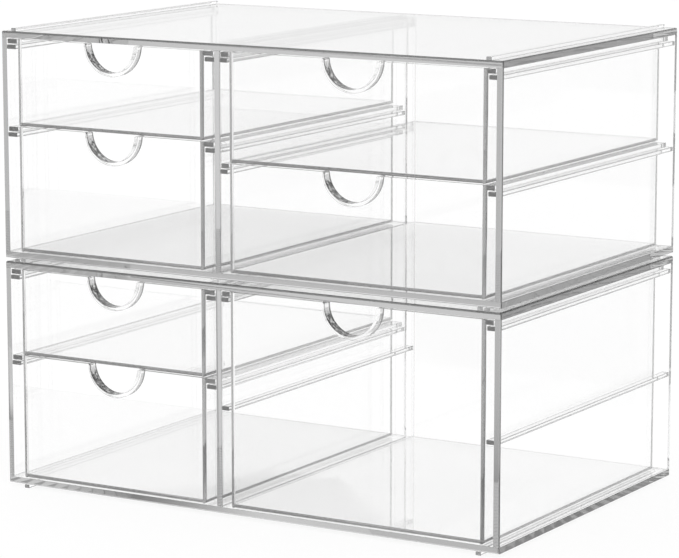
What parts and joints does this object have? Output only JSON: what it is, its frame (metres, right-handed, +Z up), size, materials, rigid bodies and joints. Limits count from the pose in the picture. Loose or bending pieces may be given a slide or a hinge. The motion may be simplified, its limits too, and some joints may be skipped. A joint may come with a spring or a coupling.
{
  "type": "make-up organizer with drawers",
  "caption": "Clear acrylic make-up and jewellery organizer: stacked open-fronted cases with hanging drawers that slide out by half-round finger notches.",
  "frame": {"origin": "centre of the footprint, at the underside of the skids", "axes": "+X to the right seen from the front, +Y from the front to the back, +Z up; drawers open towards -Y"},
  "size_m": [0.2594, 0.171, 0.2149],
  "materials": {
    "case_acrylic": "polished clear sheet",
    "drawer_plastic": "clear moulded, glossy"
  },
  "bodies": {
    "lower_case": {"lower_case_bottom_panel": "case_acrylic", "lower_case_top_panel": "case_acrylic", "lower_case_left_side": "case_acrylic", "lower_case_right_side": "case_acrylic", "lower_case_divider": "case_acrylic", "lower_case_left_bay_top_rail_left": "case_acrylic", "lower_case_left_bay_top_rail_right": "case_acrylic", "lower_case_left_bay_middle_rail_left": "case_acrylic", "lower_case_left_bay_middle_rail_right": "case_acrylic", "lower_case_right_bay_top_rail_left": "case_acrylic", "lower_case_right_bay_top_rail_right": "case_acrylic", "lower_case_right_bay_middle_rail_left": "case_acrylic", "lower_case_right_bay_middle_rail_right": "case_acrylic", "lower_case_left_stacking_rib": "case_acrylic", "lower_case_left_skid": "case_acrylic", "lower_case_right_stacking_rib": "case_acrylic", "lower_case_right_skid": "case_acrylic"},
    "upper_case": {"upper_case_bottom_panel": "case_acrylic", "upper_case_top_panel": "case_acrylic", "upper_case_left_side": "case_acrylic", "upper_case_right_side": "case_acrylic", "upper_case_divider": "case_acrylic", "upper_case_left_bay_top_rail_left": "case_acrylic", "upper_case_left_bay_top_rail_right": "case_acrylic", "upper_case_left_bay_middle_rail_left": "case_acrylic", "upper_case_left_bay_middle_rail_right": "case_acrylic", "upper_case_right_bay_top_rail_left": "case_acrylic", "upper_case_right_bay_top_rail_right": "case_acrylic", "upper_case_right_bay_middle_rail_left": "case_acrylic", "upper_case_right_bay_middle_rail_right": "case_acrylic", "upper_case_left_stacking_rib": "case_acrylic", "upper_case_left_skid": "case_acrylic", "upper_case_right_stacking_rib": "case_acrylic", "upper_case_right_skid": "case_acrylic"},
    "upper_left_small_drawer": {"upper_left_small_drawer": "drawer_plastic"},
    "upper_left_deep_drawer": {"upper_left_deep_drawer": "drawer_plastic"},
    "upper_right_top_drawer": {"upper_right_top_drawer": "drawer_plastic"},
    "upper_right_bottom_drawer": {"upper_right_bottom_drawer": "drawer_plastic"},
    "lower_left_small_drawer": {"lower_left_small_drawer": "drawer_plastic"},
    "lower_left_deep_drawer": {"lower_left_deep_drawer": "drawer_plastic"},
    "lower_right_tall_drawer": {"lower_right_tall_drawer": "drawer_plastic"}
  },
  "joints": [
    {"name": "upper_case_lift", "type": "slide", "parent": "lower_case", "child": "upper_case", "axis": [0, 0, 1], "range_m": [0, 0.05]},
    {"name": "upper_left_small_drawer_slide", "type": "slide", "parent": "upper_case", "child": "upper_left_small_drawer", "axis": [0, -1, 0], "range_m": [0, 0.13]},
    {"name": "upper_left_deep_drawer_slide", "type": "slide", "parent": "upper_case", "child": "upper_left_deep_drawer", "axis": [0, -1, 0], "range_m": [0, 0.13]},
    {"name": "upper_right_top_drawer_slide", "type": "slide", "parent": "upper_case", "child": "upper_right_top_drawer", "axis": [0, -1, 0], "range_m": [0, 0.13]},
    {"name": "upper_right_bottom_drawer_slide", "type": "slide", "parent": "upper_case", "child": "upper_right_bottom_drawer", "axis": [0, -1, 0], "range_m": [0, 0.13]},
    {"name": "lower_left_small_drawer_slide", "type": "slide", "parent": "lower_case", "child": "lower_left_small_drawer", "axis": [0, -1, 0], "range_m": [0, 0.13]},
    {"name": "lower_left_deep_drawer_slide", "type": "slide", "parent": "lower_case", "child": "lower_left_deep_drawer", "axis": [0, -1, 0], "range_m": [0, 0.13]},
    {"name": "lower_right_tall_drawer_slide", "type": "slide", "parent": "lower_case", "child": "lower_right_tall_drawer", "axis": [0, -1, 0], "range_m": [0, 0.13]}
  ]
}
